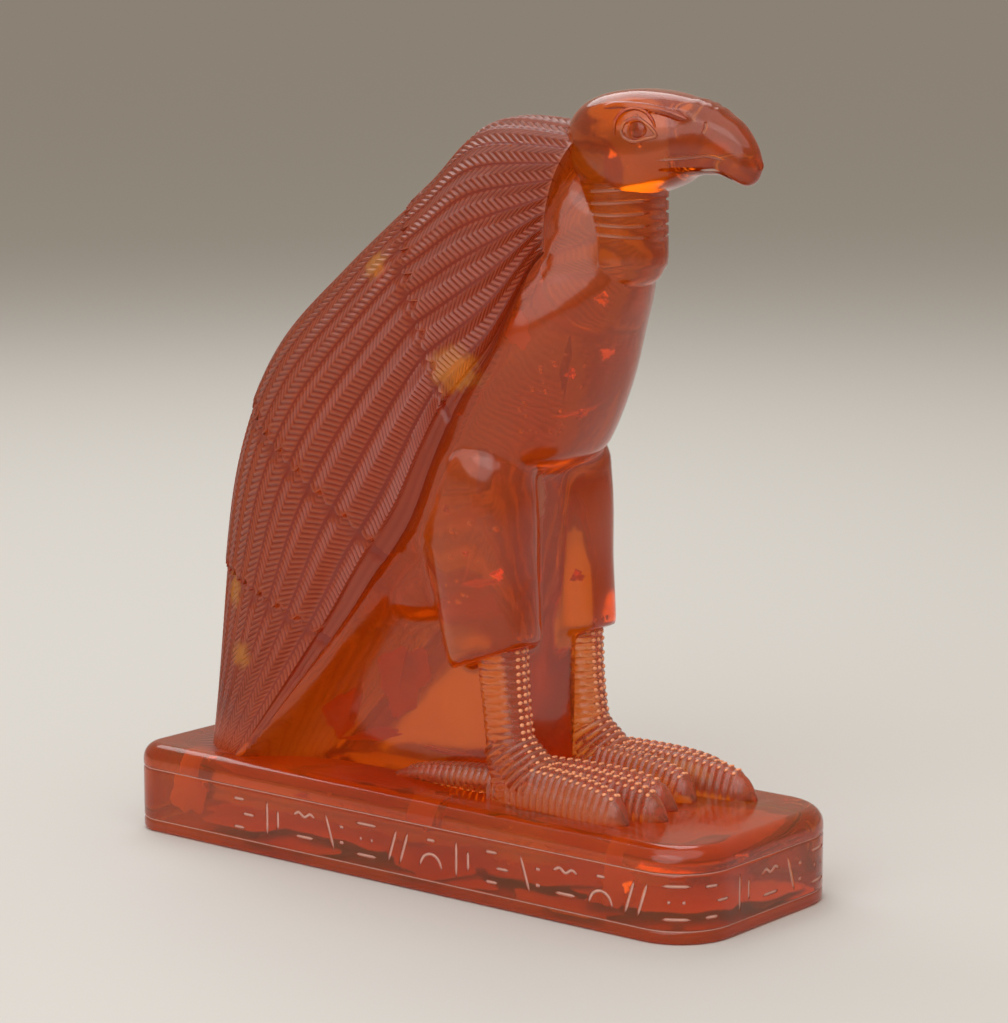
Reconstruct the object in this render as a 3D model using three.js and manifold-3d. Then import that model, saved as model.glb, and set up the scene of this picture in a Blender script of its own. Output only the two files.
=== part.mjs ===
// A seated vulture on its plinth, carved in one piece from clear amber.
// Millimetres, +Z up. The bird looks along -Y. The origin is on the underside, below the plinth's middle.
// Side profiles are written as [ahead, up] pairs, where ahead is the distance in front of the plinth's
// middle, towards -Y.
import * as THREE from 'three';
import * as BufferGeometryUtils from 'three/addons/utils/BufferGeometryUtils.js';
import Module from 'manifold-3d';

const wasm = await Module();
wasm.setup();

// Driving dimensions
const plinthLength = 147;
const plinthWidth = 52;
const plinthHeight = 18.6;
const frontCornerRadius = 12;
const backCornerRadius = 7;
const topEdgeRise = 4.2;
const topEdgeInset = 2.2;
const footEdgeInset = 0.8;
const frameLineHeights = [2.6, 13.6];
const frameLineDepth = 0.35;
const frameLineHalfWidth = 0.45;
const sink = 0.8;

// Wings: the front edge of the folded wing and the ridge of the back, both seen from the side
const wingFrontEdge = [[29, 127.5], [22.6, 110], [15.8, 98], [10.2, 86], [4.5, 73.5], [-5, 61.5], [-17, 48],
  [-46, 17.8]];
const backRidge = [[32, 149], [10, 150.3], [-4.5, 139], [-27, 121.5], [-46, 104.5], [-56.5, 85], [-62, 60],
  [-64.5, 17.8]];
const wingHalfWidths = [[0, 15.8], [0.12, 19.8], [0.25, 22.6], [0.4, 24], [0.7, 24], [0.85, 22.5], [1, 20]];
const wingRoundness = 2.3;
const featherCount = 10;
const columnsPerFeather = 2;
const vaneSwell = 0.32;
const tiers = [
  { from: 0, to: 0.3, rows: 6, lift: 1.6, tuck: 0 },
  { from: 0.24, to: 0.64, rows: 7, lift: 1.1, tuck: 0.006 },
  { from: 0.58, to: 0.85, rows: 5, lift: 0.6, tuck: 0.012 },
  { from: 0.79, to: 1, rows: 4, lift: 0, tuck: 0.018 },
];
const tipReach = 0.033;
const shoulderFan = 0.55;
const shoulderEnd = 0.32;
const rimShare = 0.07;
const rimRelief = 0.5;
const rimLength = 0.3;
const tailFade = 0.1;

// The breast and belly, as level ovals: their height against their back, front and half width
const breastHeights = [83, 85.5, 90, 96, 104, 111, 116, 120, 125, 130, 134, 138, 142, 148];
const breastBack = [[83, -40], [100, -40], [120, -20], [136, -2], [148, 8]];
const breastFront = [[83, 21], [85.5, 26.5], [90, 29.8], [100, 34.3], [111, 38], [119, 41.6], [125, 44],
  [129, 45], [133, 44], [137.5, 39], [142, 34], [148, 30]];
const breastHalfWidth = [[83, 17], [85.5, 20.5], [90, 22], [104, 22], [111, 21.4], [116, 20.2], [120, 18.4],
  [125, 16], [130, 14.4], [138, 13.4], [148, 12]];
const breastSides = 24;
const breastRoundness = [[83, 2.5], [104, 2.5], [119, 2.1], [125, 1.75], [133, 1.7], [142, 2.2]];

// The flank behind the thighs, and the web of solid stone from the tail to the legs
const flankHeights = [51, 53, 56, 61, 70, 88];
const flankBack = [[51, -12], [53, -18], [61, -30], [88, -42]];
const flankFront = [[51, 0], [53, 4], [56, 7], [88, 14]];
const flankHalfWidth = [[51, 10.5], [53, 15.2], [56, 18], [61, 20], [70, 21.3], [88, 22]];
const flankRoundness = [[51, 2.5], [88, 2.5]];
const flankSides = 18;
const webFront = 19.5;
const webHalfWidth = 9.4;
const webFlare = 11.5;
const webFlareLength = 7;
const webTop = 86;
const webTuck = 4;
const webRowHeight = 6.5;
const webSteps = 7;
const webCrowding = 1.5;

// Legs and feet: the toes drift a little to the bird's left, and the left toes reach further
const legs = [
  { side: -12, toeTips: [[-16, 51], [-8.7, 55], [-0.8, 51.5]] },
  { side: 12.4, toeTips: [[6.8, 50.5], [15.6, 59], [21, 50]] },
];
const thighRings = [
  { up: 46.4, ahead: 15, deep: 8.6, wide: 6.8 },
  { up: 47.6, ahead: 14.8, deep: 9.5, wide: 7.8 },
  { up: 55, ahead: 13.6, deep: 10.2, wide: 8.4 },
  { up: 63, ahead: 12.4, deep: 10.8, wide: 9 },
  { up: 73, ahead: 10.4, deep: 12.8, wide: 9.6 },
  { up: 80, ahead: 8.8, deep: 14, wide: 9.7 },
  { up: 86, ahead: 7.4, deep: 14.2, wide: 9.4 },
  { up: 93, ahead: 4, deep: 10, wide: 7 },
];
const hemRings = 4;
const hemSlope = 0.38;
const thighRoundness = 2.5;
const thighSides = 18;
const shankPath = [[16.6, 54], [17.4, 42], [18.8, 31], [20.2, 24], [21, 17.8]];
const shankWide = [[0, 4.6], [0.4, 4.3], [0.75, 5], [1, 5.6]];
const shankDeep = [[0, 5.4], [0.4, 4.8], [0.75, 5.2], [1, 5.8]];
const instepPath = [[17.6, 30], [21.8, 24.8], [27.4, 19.9], [32.5, 16.4]];
const instepWide = [[0, 4.2], [0.5, 5.2], [1, 5]];
const instepDeep = [[0, 4.8], [0.35, 6], [0.7, 5.6], [1, 3.4]];
const limbRoundness = 2.2;
const limbSides = 10;
const shankRings = 6;
const instepRings = 5;
const toeRootAhead = 17.3;
const toeRootSpread = 0.3;
const toeRings = 11;
const toeSides = 8;
const clawShare = 0.82;
const toeUp = [[0, 19.1], [0.5, 18.9], [clawShare, 18.6], [1, 18.4]];
const toeWide = [[0, 3.7], [0.5, 3.3], [clawShare, 2.5], [1, 0.5]];
const toeDeep = [[0, 7.3], [0.5, 6.7], [clawShare, 4.8], [1, 0.8]];
const toeRidge = 0.28;
const hindToePath = [[19, 21.6], [8, 20.9], [-3, 20.1], [-10.5, 18.7]];
const hindToeRadii = [[0, 3], [0.5, 2.4], [1, 0.6]];
const hindToeRings = 7;
const hindToeRidge = 0.2;

// Head and bill, as upright ovals along the beak: place ahead against top, underside and half width
const headPlaces = [26.3, 27.2, 29.2, 32, 36, 40, 44, 48, 51, 54, 57, 60, 62.5, 64.5, 66.3, 67.8, 68.7];
const headTop = [[26.3, 149.5], [27.2, 152], [29.2, 154.4], [32, 156.2], [36, 157.5], [42, 158.2],
  [48, 157.8], [54, 156.7], [58.3, 155.4], [61.3, 154], [64, 152.4], [66.3, 150], [67.8, 147.8],
  [68.7, 145.2]];
const headUnder = [[26.3, 146.5], [27.2, 143.5], [29.2, 140.8], [32, 138.8], [36, 137.6], [44, 138.2],
  [50, 140], [54, 141.9], [60, 142.4], [63, 141.6], [66, 140.6], [67.8, 141.6], [68.7, 143.6]];
const headHalfWidth = [[26.3, 2.4], [27.2, 5], [29.2, 7.6], [32, 9.4], [36, 10.4], [42, 10.4], [48, 8.8],
  [52, 7], [57, 5.6], [62, 4.5], [66, 3], [68.7, 1.1]];
const headRoundness = [[26.3, 2.35], [36, 2.75], [50, 2.75], [58, 2.35]];
const headSides = 22;
const mouthLine = [[50.5, 144.9], [56, 144.5], [62, 144.9], [65.5, 143.4]];
const mouthWidth = 1.2;
const mouthDepth = 1.1;
const mouthEndShare = 0.4;
const mouthReach = 13.2;
const mouthSteps = 5;
const leastHalf = 0.4;
const eyePlace = [46.6, 150.8];
const eyeRims = [{ long: 4.5, high: 3.3 }, { long: 3, high: 2.2 }];
const eyeRimThickness = 0.5;
const eyeRimPoints = 10;
const eyeRimSteps = 12;
const eyeRimSides = 4;
const eyeball = { deep: 0.9, long: 1.9, high: 1.5, sunk: 0.2 };

// The bare neck hangs on the breast as a rounded tongue with throat wrinkles
const neckAhead = [[119.4, 36], [126, 36.8]];
const neckRadius = 8.7;
const neckBottom = 119.4;
const wrinkleTop = 139;
const wrinkleSpacing = 2.15;
const wrinkleCount = 5;
const wrinkleDepth = 0.5;
const neckTop = 143;
const neckTongue = [[0, 0.35], [0.8, 0.62], [2.2, 0.84], [4.5, 0.97]];
const neckTopShare = 0.95;
const neckSides = 16;

function smoothThrough(pairs) {
  // A smooth curve through [place, value] pairs, read at any place.
  return (place) => {
    const last = pairs.length - 1;
    if (place <= pairs[0][0]) return pairs[0][1];
    if (place >= pairs[last][0]) return pairs[last][1];
    const i = pairs.findIndex((pair) => pair[0] > place) - 1;
    const slope = (k) => {
      const before = pairs[Math.max(k - 1, 0)];
      const after = pairs[Math.min(k + 1, last)];
      return (after[1] - before[1]) / (after[0] - before[0]);
    };
    const [start, end] = [pairs[i], pairs[i + 1]];
    const span = end[0] - start[0];
    const t = (place - start[0]) / span;
    const rise = end[1] - start[1];
    const [m0, m1] = [slope(i) * span, slope(i + 1) * span];
    return start[1] + m0 * t + (3 * rise - 2 * m0 - m1) * t * t + (m0 + m1 - 2 * rise) * t * t * t;
  };
}

function profile(points) {
  // A smooth side profile, read by the share of its points passed.
  return new THREE.SplineCurve(points.map(([ahead, up]) => new THREE.Vector2(ahead, up)));
}

function at(side, ahead, up) {
  return new THREE.Vector3(side, -ahead, up);
}

function loft(rings) {
  // Joins closed rings of equal count, and closes both ends with a fan to the middle.
  const count = rings[0].length;
  const positions = rings.flat().flatMap((point) => point.toArray());
  const faces = [];
  for (let r = 0; r + 1 < rings.length; r += 1) {
    for (let j = 0; j < count; j += 1) {
      const [a, b] = [r * count + j, r * count + ((j + 1) % count)];
      faces.push(a, b, b + count, a, b + count, a + count);
    }
  }
  [rings[0], rings[rings.length - 1]].forEach((ring, end) => {
    const middle = ring.reduce((sum, point) => sum.add(point), new THREE.Vector3()).divideScalar(count);
    const centre = positions.length / 3;
    positions.push(...middle.toArray());
    const base = end * (rings.length - 1) * count;
    for (let j = 0; j < count; j += 1) {
      const [a, b] = [base + j, base + ((j + 1) % count)];
      faces.push(...(end ? [a, b, centre] : [b, a, centre]));
    }
  });
  const geometry = new THREE.BufferGeometry();
  geometry.setAttribute('position', new THREE.Float32BufferAttribute(positions, 3));
  geometry.setIndex(faces);
  return geometry;
}

function signedVolume(geometry) {
  const position = geometry.attributes.position;
  const index = geometry.index;
  const [a, b, c] = [new THREE.Vector3(), new THREE.Vector3(), new THREE.Vector3()];
  let total = 0;
  for (let i = 0; i < index.count; i += 3) {
    a.fromBufferAttribute(position, index.getX(i));
    b.fromBufferAttribute(position, index.getX(i + 1));
    c.fromBufferAttribute(position, index.getX(i + 2));
    total += a.dot(b.cross(c));
  }
  return total;
}

function solid(geometry) {
  // Turns a closed mesh into a solid, with its faces pointing out.
  const bare = geometry.clone();
  bare.deleteAttribute('normal');
  bare.deleteAttribute('uv');
  const merged = BufferGeometryUtils.mergeVertices(bare, 1e-4);
  const triVerts = new Uint32Array(merged.index.array);
  if (signedVolume(merged) < 0) {
    for (let i = 0; i < triVerts.length; i += 3) {
      [triVerts[i], triVerts[i + 1]] = [triVerts[i + 1], triVerts[i]];
    }
  }
  const vertProperties = new Float32Array(merged.attributes.position.array);
  return new wasm.Manifold(new wasm.Mesh({ numProp: 3, vertProperties, triVerts }));
}

function ovalRing(centre, across, along, halfAcross, halfAlong, roundness, count) {
  // A closed oval around centre, in the plane of the unit vectors across and along.
  const power = 2 / roundness;
  return Array.from({ length: count }, (_, j) => {
    const turn = (2 * Math.PI * j) / count;
    const [c, s] = [Math.cos(turn), Math.sin(turn)];
    return centre.clone()
      .addScaledVector(across, halfAcross * Math.sign(c) * Math.abs(c) ** power)
      .addScaledVector(along, halfAlong * Math.sign(s) * Math.abs(s) ** power);
  });
}

const sideways = new THREE.Vector3(1, 0, 0);
const forward = new THREE.Vector3(0, -1, 0);
const upwards = new THREE.Vector3(0, 0, 1);

function plinthRing(inset, height) {
  const arcSteps = 5;
  const half = new THREE.Vector2(plinthWidth / 2, plinthLength / 2);
  const corners = [[1, 1, backCornerRadius], [-1, 1, backCornerRadius], [-1, -1, frontCornerRadius],
    [1, -1, frontCornerRadius]];
  return corners.flatMap(([signX, signY, radius], corner) => Array.from({ length: arcSteps + 1 }, (_, j) => {
    const turn = (Math.PI / 2) * (corner + j / arcSteps);
    return new THREE.Vector3(
      signX * (half.x - radius) + (radius - inset) * Math.cos(turn),
      signY * (half.y - radius) + (radius - inset) * Math.sin(turn),
      height,
    );
  }));
}

function plinth() {
  // A rounded slab with a worn top edge and two incised frame lines round its sides.
  const rings = [plinthRing(footEdgeInset, 0), plinthRing(0, footEdgeInset)];
  frameLineHeights.forEach((height) => {
    rings.push(plinthRing(0, height - frameLineHalfWidth));
    rings.push(plinthRing(frameLineDepth, height));
    rings.push(plinthRing(0, height + frameLineHalfWidth));
  });
  const edgeSteps = 4;
  for (let k = 0; k <= edgeSteps; k += 1) {
    const turn = (Math.PI / 2) * (k / edgeSteps);
    rings.push(plinthRing(topEdgeInset * (1 - Math.cos(turn)),
      plinthHeight - topEdgeRise * (1 - Math.sin(turn))));
  }
  return solid(loft(rings));
}

function levelOvals(heights, back, front, halfWidth, roundness, count) {
  const [backAt, frontAt, widthAt, roundAt] = [back, front, halfWidth, roundness].map(smoothThrough);
  return solid(loft(heights.map((height) => {
    const middle = (backAt(height) + frontAt(height)) / 2;
    const deep = frontAt(height) - middle;
    const [centre, wide, round] = [at(0, middle, height), widthAt(height), roundAt(height)];
    return ovalRing(centre, sideways, forward, wide, deep, round, count);
  })));
}

function breast() {
  return levelOvals(breastHeights, breastBack, breastFront, breastHalfWidth, breastRoundness, breastSides);
}

function flank() {
  return levelOvals(flankHeights, flankBack, flankFront, flankHalfWidth, flankRoundness, flankSides);
}

const wingFront = profile(wingFrontEdge);
const wingRidge = profile(backRidge);
const wingHalfWidth = smoothThrough(wingHalfWidths);

function wingPoint(s, t) {
  // s runs round the body from the wing's front edge (0) to the ridge of the back (1).
  // t runs from the shoulder (0) to the tail (1).
  const share = Math.sin((s * Math.PI) / 2);
  const place = wingFront.getPoint(t).lerp(wingRidge.getPoint(t), share);
  const side = wingHalfWidth(t) * Math.max(1 - share ** wingRoundness, 0) ** (1 / wingRoundness);
  return at(side, place.x, place.y);
}

function wingNormal(s, t) {
  const step = 0.01;
  const overS = wingPoint(Math.min(s + step, 1), t).sub(wingPoint(Math.max(s - step, 0), t));
  const overT = wingPoint(s, Math.min(t + step, 1)).sub(wingPoint(s, Math.max(t - step, 0)));
  return new THREE.Vector3().crossVectors(overT, overS).normalize();
}

function featherTier(tier) {
  // One tier of feathers over both wings and the back. Each feather has a sunk shaft and a rounded tip,
  // and each lower tier is tucked a little behind the one above at the wing's front edge. On the shoulder
  // the feathers fan out from the front edge.
  const columns = featherCount * columnsPerFeather;
  const rings = [];
  for (let r = 0; r <= tier.rows; r += 1) {
    const arch = [];
    for (let j = 0; j <= columns; j += 1) {
      const place = tier.tuck + ((1 - tier.tuck) * j) / columns;
      const across = (j % columnsPerFeather) / columnsPerFeather;
      const tip = tier.to < 1 ? tipReach * Math.sin(Math.PI * across) : 0;
      const t = tier.from + ((tier.to + tip - tier.from) * r) / tier.rows;
      const s = place ** (1 + shoulderFan * Math.max(1 - t / shoulderEnd, 0));
      const onRim = s < rimShare && tier.from < rimLength;
      const relief = onRim ? rimRelief : vaneSwell * (j % 2 ? 0.5 : -0.5);
      const fade = Math.min(1, (1 - t) / tailFade);
      const normal = wingNormal(s, t);
      if (j === columns) normal.x = 0;
      arch.push(wingPoint(s, t).addScaledVector(normal, (tier.lift + relief) * fade));
    }
    const mirrored = arch.slice(0, -1).map((point) => new THREE.Vector3(-point.x, point.y, point.z));
    rings.push([...mirrored, ...arch.reverse()]);
  }
  return solid(loft(rings));
}

function web() {
  // Solid from under the wings to the legs: wide below the wing's edge, then a narrow wall.
  const edge = wingFront.getPoints(60);
  const rings = [];
  for (let height = plinthHeight - sink; height < webTop; height += webRowHeight) {
    const start = edge.find((place) => place.y < height + sink) ?? edge[edge.length - 1];
    const from = start.x - webTuck;
    const side = [];
    for (let j = 0; j <= webSteps; j += 1) {
      const ahead = from + (webFront - from) * (j / webSteps) ** webCrowding;
      const beyond = Math.max(ahead - start.x, 0);
      side.push([webHalfWidth + webFlare * Math.exp(-beyond / webFlareLength), ahead]);
    }
    rings.push([...side.map(([x, ahead]) => at(-x, ahead, height)),
      ...side.reverse().map(([x, ahead]) => at(x, ahead, height))]);
  }
  return solid(loft(rings));
}

function tube(path, wideAt, deepAt, rings, count, ridge) {
  // A tapering limb along a path of points; ridge swells and sinks it ring by ring.
  const curve = new THREE.CatmullRomCurve3(path);
  return solid(loft(Array.from({ length: rings + 1 }, (_, r) => {
    const share = r / rings;
    const along = curve.getTangent(share);
    const across = sideways.clone().addScaledVector(along, -along.x).normalize();
    const outward = new THREE.Vector3().crossVectors(along, across);
    const swell = ridge ? ridge(share, r) : 0;
    const [wide, deep] = [wideAt(share) + swell, deepAt(share) + swell];
    return ovalRing(curve.getPoint(share), across, outward, wide, deep, limbRoundness, count);
  })));
}

function thigh({ side }) {
  // Like a plain trouser leg, with its hem rising towards the front.
  return solid(loft(thighRings.map(({ up, ahead, deep, wide }, k) => {
    const slope = hemSlope * Math.max(1 - k / hemRings, 0);
    const along = new THREE.Vector3(0, -1, slope);
    return ovalRing(at(side, ahead, up), sideways, along, wide, deep, thighRoundness, thighSides);
  })));
}

function shank({ side }) {
  const path = shankPath.map(([ahead, up]) => at(side, ahead, up));
  return tube(path, smoothThrough(shankWide), smoothThrough(shankDeep), shankRings, limbSides);
}

function instep({ side }) {
  const path = instepPath.map(([ahead, up]) => at(side, ahead, up));
  return tube(path, smoothThrough(instepWide), smoothThrough(instepDeep), instepRings, limbSides);
}

function toe(side, [tipSide, tipAhead]) {
  // A ridged toe that ends in a smooth claw on the plinth.
  const path = toeUp.map(([share, up]) => at(
    side + (tipSide - side) * (toeRootSpread + (1 - toeRootSpread) * share),
    toeRootAhead + (tipAhead - toeRootAhead) * share,
    up,
  ));
  const ridge = (share, r) => (share < clawShare ? toeRidge * (r % 2 ? 1 : -1) : 0);
  return tube(path, smoothThrough(toeWide), smoothThrough(toeDeep), toeRings, toeSides, ridge);
}

function hindToe({ side }) {
  const path = hindToePath.map(([ahead, up]) => at(side, ahead, up));
  const radius = smoothThrough(hindToeRadii);
  const ridge = (share, r) => (share < clawShare ? hindToeRidge * (r % 2 ? 1 : -1) : 0);
  return tube(path, radius, radius, hindToeRings, toeSides, ridge);
}

function leg(stance) {
  const toes = stance.toeTips.map((tip) => toe(stance.side, tip));
  return [thigh(stance), shank(stance), instep(stance), hindToe(stance), ...toes].reduce(join);
}

function headForm(shrink) {
  const [topAt, underAt, widthAt, roundAt] = [headTop, headUnder, headHalfWidth, headRoundness]
    .map(smoothThrough);
  return solid(loft(headPlaces.map((ahead) => {
    const [top, under] = [topAt(ahead), underAt(ahead)];
    const high = Math.max((top - under) / 2 - shrink, leastHalf);
    const wide = Math.max(widthAt(ahead) - shrink, leastHalf);
    const centre = at(0, ahead, (top + under) / 2);
    return ovalRing(centre, sideways, upwards, wide, high, roundAt(ahead), headSides);
  })));
}

function mouthCut() {
  // A thin curved blade through the bill, as deep as the head form less its own core.
  const line = profile(mouthLine).getPoints(mouthSteps);
  const rings = line.map((place, k) => {
    const half = (mouthWidth / 2) * (k === 0 || k === line.length - 1 ? mouthEndShare : 1);
    const corners = [[-mouthReach, -half], [mouthReach, -half], [mouthReach, half], [-mouthReach, half]];
    return corners.map(([x, up]) => at(x, place.x, place.y + up));
  });
  return solid(loft(rings)).subtract(headForm(mouthDepth));
}

function headSide(ahead, up) {
  // Half the head's width at a place on its side.
  const [top, under, wide, round] = [headTop, headUnder, headHalfWidth, headRoundness]
    .map((pairs) => smoothThrough(pairs)(ahead));
  const rise = Math.abs(up - (top + under) / 2) / ((top - under) / 2);
  return wide * Math.max(1 - rise ** round, 0) ** (1 / round);
}

function eye(hand) {
  // Two raised oval rims that follow the side of the head, round a low eyeball.
  const [eyeAhead, eyeUp] = eyePlace;
  const rims = eyeRims.map(({ long, high }) => {
    const loop = Array.from({ length: eyeRimPoints }, (_, j) => {
      const turn = (2 * Math.PI * j) / eyeRimPoints;
      const [ahead, up] = [eyeAhead + long * Math.cos(turn), eyeUp + high * Math.sin(turn)];
      return at(hand * headSide(ahead, up), ahead, up);
    });
    const round = new THREE.CatmullRomCurve3(loop, true);
    return new THREE.TubeGeometry(round, eyeRimSteps, eyeRimThickness, eyeRimSides, true);
  });
  const ball = new THREE.SphereGeometry(1, 8, 5).scale(eyeball.deep, eyeball.long, eyeball.high);
  const place = at(hand * (headSide(eyeAhead, eyeUp) - eyeball.sunk), eyeAhead, eyeUp);
  return [...rims, ball.translate(place.x, place.y, place.z)].map(solid).reduce(join);
}

function neck() {
  const neckAheadAt = smoothThrough(neckAhead);
  const rings = [];
  const ring = (height, radius) => rings.push(
    ovalRing(at(0, neckAheadAt(height), height), sideways, forward, radius, radius, limbRoundness, neckSides));
  neckTongue.forEach(([rise, share]) => ring(neckBottom + rise, neckRadius * share));
  for (let k = wrinkleCount - 1; k >= 0; k -= 1) {
    const height = wrinkleTop - k * wrinkleSpacing;
    ring(height - wrinkleSpacing / 2, neckRadius);
    ring(height, neckRadius - wrinkleDepth);
  }
  ring(wrinkleTop + wrinkleSpacing / 2, neckRadius);
  ring(neckTop, neckRadius * neckTopShare);
  return solid(loft(rings));
}

function join(sum, piece) {
  return sum.add(piece);
}

function head() {
  return [headForm(0).subtract(mouthCut()), eye(1), eye(-1), neck()].reduce(join);
}

const bird = [plinth(), breast(), flank(), web(), ...tiers.map(featherTier), ...legs.map(leg), head()]
  .reduce(join);

function meshOf(manifold, name) {
  const { vertProperties, triVerts } = manifold.getMesh();
  const geometry = new THREE.BufferGeometry();
  geometry.setAttribute('position', new THREE.Float32BufferAttribute(vertProperties, 3));
  geometry.setIndex(new THREE.Uint32BufferAttribute(triVerts, 1));
  const material = new THREE.MeshStandardMaterial({ color: 0xb8481a, roughness: 0.3, metalness: 0 });
  const mesh = new THREE.Mesh(geometry, material);
  mesh.name = name;
  return mesh;
}

const statue = new THREE.Group();
statue.add(meshOf(bird, 'vulture_statue'));
export default statue;
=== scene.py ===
"""A seated vulture on its plinth, carved in one piece from clear amber.

Shapes are written in millimetres as [side, ahead, up]: side is to the bird's left, ahead is in front of
the plinth's middle, and up is above the underside.
"""
import math
import random

import bpy
import numpy as np
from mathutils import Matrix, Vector, kdtree


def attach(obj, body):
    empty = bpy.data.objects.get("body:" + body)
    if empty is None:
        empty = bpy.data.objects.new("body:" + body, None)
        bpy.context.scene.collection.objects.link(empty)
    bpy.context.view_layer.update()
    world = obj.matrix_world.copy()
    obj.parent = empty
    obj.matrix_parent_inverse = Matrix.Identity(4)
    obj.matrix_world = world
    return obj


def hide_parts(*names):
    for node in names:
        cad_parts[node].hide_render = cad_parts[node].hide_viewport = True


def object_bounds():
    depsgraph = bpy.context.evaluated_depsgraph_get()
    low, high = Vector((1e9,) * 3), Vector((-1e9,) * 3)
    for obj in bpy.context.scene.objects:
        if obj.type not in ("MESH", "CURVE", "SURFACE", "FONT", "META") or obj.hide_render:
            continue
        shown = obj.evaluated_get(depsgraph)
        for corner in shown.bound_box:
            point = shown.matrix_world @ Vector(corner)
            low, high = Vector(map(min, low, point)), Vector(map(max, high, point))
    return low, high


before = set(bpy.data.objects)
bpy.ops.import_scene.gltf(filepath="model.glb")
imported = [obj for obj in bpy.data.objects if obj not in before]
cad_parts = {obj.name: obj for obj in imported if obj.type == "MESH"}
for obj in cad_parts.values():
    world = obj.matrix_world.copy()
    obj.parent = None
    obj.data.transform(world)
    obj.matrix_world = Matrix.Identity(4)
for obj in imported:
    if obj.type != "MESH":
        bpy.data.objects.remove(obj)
cad_low, cad_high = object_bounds()

MM = 0.001
random.seed(7)

# Plinth, with its size taken from the frame
PLINTH_WIDTH = (cad_high.x - cad_low.x) / MM
PLINTH_LENGTH = (cad_high.y - cad_low.y) / MM
PLINTH_HEIGHT = 18.6
FRONT_CORNER = 12.0
BACK_CORNER = 7.0
TOP_EDGE = 3.4
FOOT_EDGE = 0.8
FRAME_LINES = (2.6, 13.6)
FRAME_LINE_DEPTH = 0.4
FRAME_LINE_HALF = 0.45

# Wings: the front edge of the folded wing and the ridge of the back, seen from the side
WING_FRONT = [[29, 127.5], [22.6, 110], [15.8, 98], [10.2, 86], [4.5, 73.5], [-5, 61.5], [-17, 48], [-46, 17.8]]
BACK_RIDGE = [[32, 149], [10, 150.3], [-4.5, 139], [-27, 121.5], [-46, 104.5], [-56.5, 85], [-62, 60],
              [-64.5, 17.8]]
WING_HALF = [[0, 15.8], [0.12, 19.8], [0.25, 22.6], [0.4, 24], [0.7, 24], [0.85, 22.5], [1, 20]]
WING_ROUND = 2.3
FEATHERS = 10
RIM = 0.055
FAN = 0.55
FAN_END = 0.32
BARB = 1.45
BARB_DEPTH = 0.34
BARB_REACH = 2.6
SHAFT_DEPTH = 0.22
SHELL = 5.0
TIERS = [
    {"start": 0.0, "end": 0.30, "lift": 1.6, "tuck": 0.0},
    {"start": 0.24, "end": 0.64, "lift": 1.1, "tuck": 0.006},
    {"start": 0.58, "end": 0.85, "lift": 0.6, "tuck": 0.012},
    {"start": 0.79, "end": 1.0, "lift": 0.1, "tuck": 0.018},
]
TIP_LENGTH = 5.0
TIP_MOAT = 0.45
NO_RELIEF = 0.5

# Breast, flank and web, as level ovals: height against back, front and half width
BREAST_BACK = [[83, -40], [100, -40], [120, -20], [136, -2], [148, 8]]
BREAST_FRONT = [[83, 21], [85.5, 26.5], [90, 29.8], [100, 34.3], [111, 38], [119, 41.6], [125, 44],
                [129, 45], [133, 44], [137.5, 39], [142, 34], [148, 30]]
BREAST_HALF = [[83, 17], [85.5, 20.5], [90, 22], [104, 22], [111, 21.4], [116, 20.2], [120, 18.4],
               [125, 16], [130, 14.4], [138, 13.4], [148, 12]]
BREAST_ROUND = [[83, 2.5], [104, 2.5], [119, 2.1], [125, 1.75], [133, 1.7], [142, 2.2]]
FLANK_BACK = [[51, -12], [53, -18], [61, -30], [88, -42]]
FLANK_FRONT = [[51, 0], [53, 4], [56, 7], [88, 14]]
FLANK_HALF = [[51, 10.5], [53, 15.2], [56, 18], [61, 20], [70, 21.3], [88, 22]]
FLANK_ROUND = [[51, 2.5], [88, 2.5]]
WEB_FRONT = 19.5
WEB_HALF = 9.4
WEB_FLARE = 11.5
WEB_FLARE_LENGTH = 7.0
WEB_TUCK = 4.0

# Legs and feet
LEGS = [
    {"side": -12.0, "tips": [[-16, 51], [-8.7, 55], [-0.8, 51.5]]},
    {"side": 12.4, "tips": [[6.8, 50.5], [15.6, 59], [21, 50]]},
]
THIGH = [(46.4, 15, 8.6, 6.8), (47.6, 14.8, 9.5, 7.8), (55, 13.6, 10.2, 8.4), (63, 12.4, 10.8, 9),
         (73, 10.4, 12.8, 9.6), (80, 8.8, 14, 9.7), (86, 7.4, 14.2, 9.4), (93, 4, 10, 7)]
THIGH_ROUND = 2.5
HEM_SLOPE = 0.38
HEM_RISE = 4
SHANK_PATH = [[16.6, 54], [17.4, 42], [18.8, 31], [20.2, 24], [21, 17.8]]
SHANK_WIDE = [[0, 4.6], [0.4, 4.3], [0.75, 5], [1, 5.6]]
SHANK_DEEP = [[0, 5.4], [0.4, 4.8], [0.75, 5.2], [1, 5.8]]
INSTEP_PATH = [[17.6, 30], [21.8, 24.8], [27.4, 19.9], [32.5, 16.4]]
INSTEP_WIDE = [[0, 4.2], [0.5, 5.2], [1, 5]]
INSTEP_DEEP = [[0, 4.8], [0.35, 6], [0.7, 5.6], [1, 3.4]]
LIMB_ROUND = 2.2
TOE_ROOT = 17.3
TOE_SPREAD = 0.3
CLAW = 0.82
TOE_UP = [[0, 19.1], [0.5, 18.9], [CLAW, 18.6], [1, 18.4]]
TOE_WIDE = [[0, 3.7], [0.5, 3.3], [CLAW, 2.5], [1, 0.5]]
TOE_DEEP = [[0, 7.3], [0.5, 6.7], [CLAW, 4.8], [1, 0.8]]
HIND_PATH = [[19, 21.6], [8, 20.9], [-3, 20.1], [-10.5, 18.7]]
HIND_RADII = [[0, 3], [0.5, 2.4], [1, 0.6]]
SCUTE = 1.7
SCUTE_DEPTH = 0.3
SCUTE_FROST_AND_GLINT = 0.6
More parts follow.
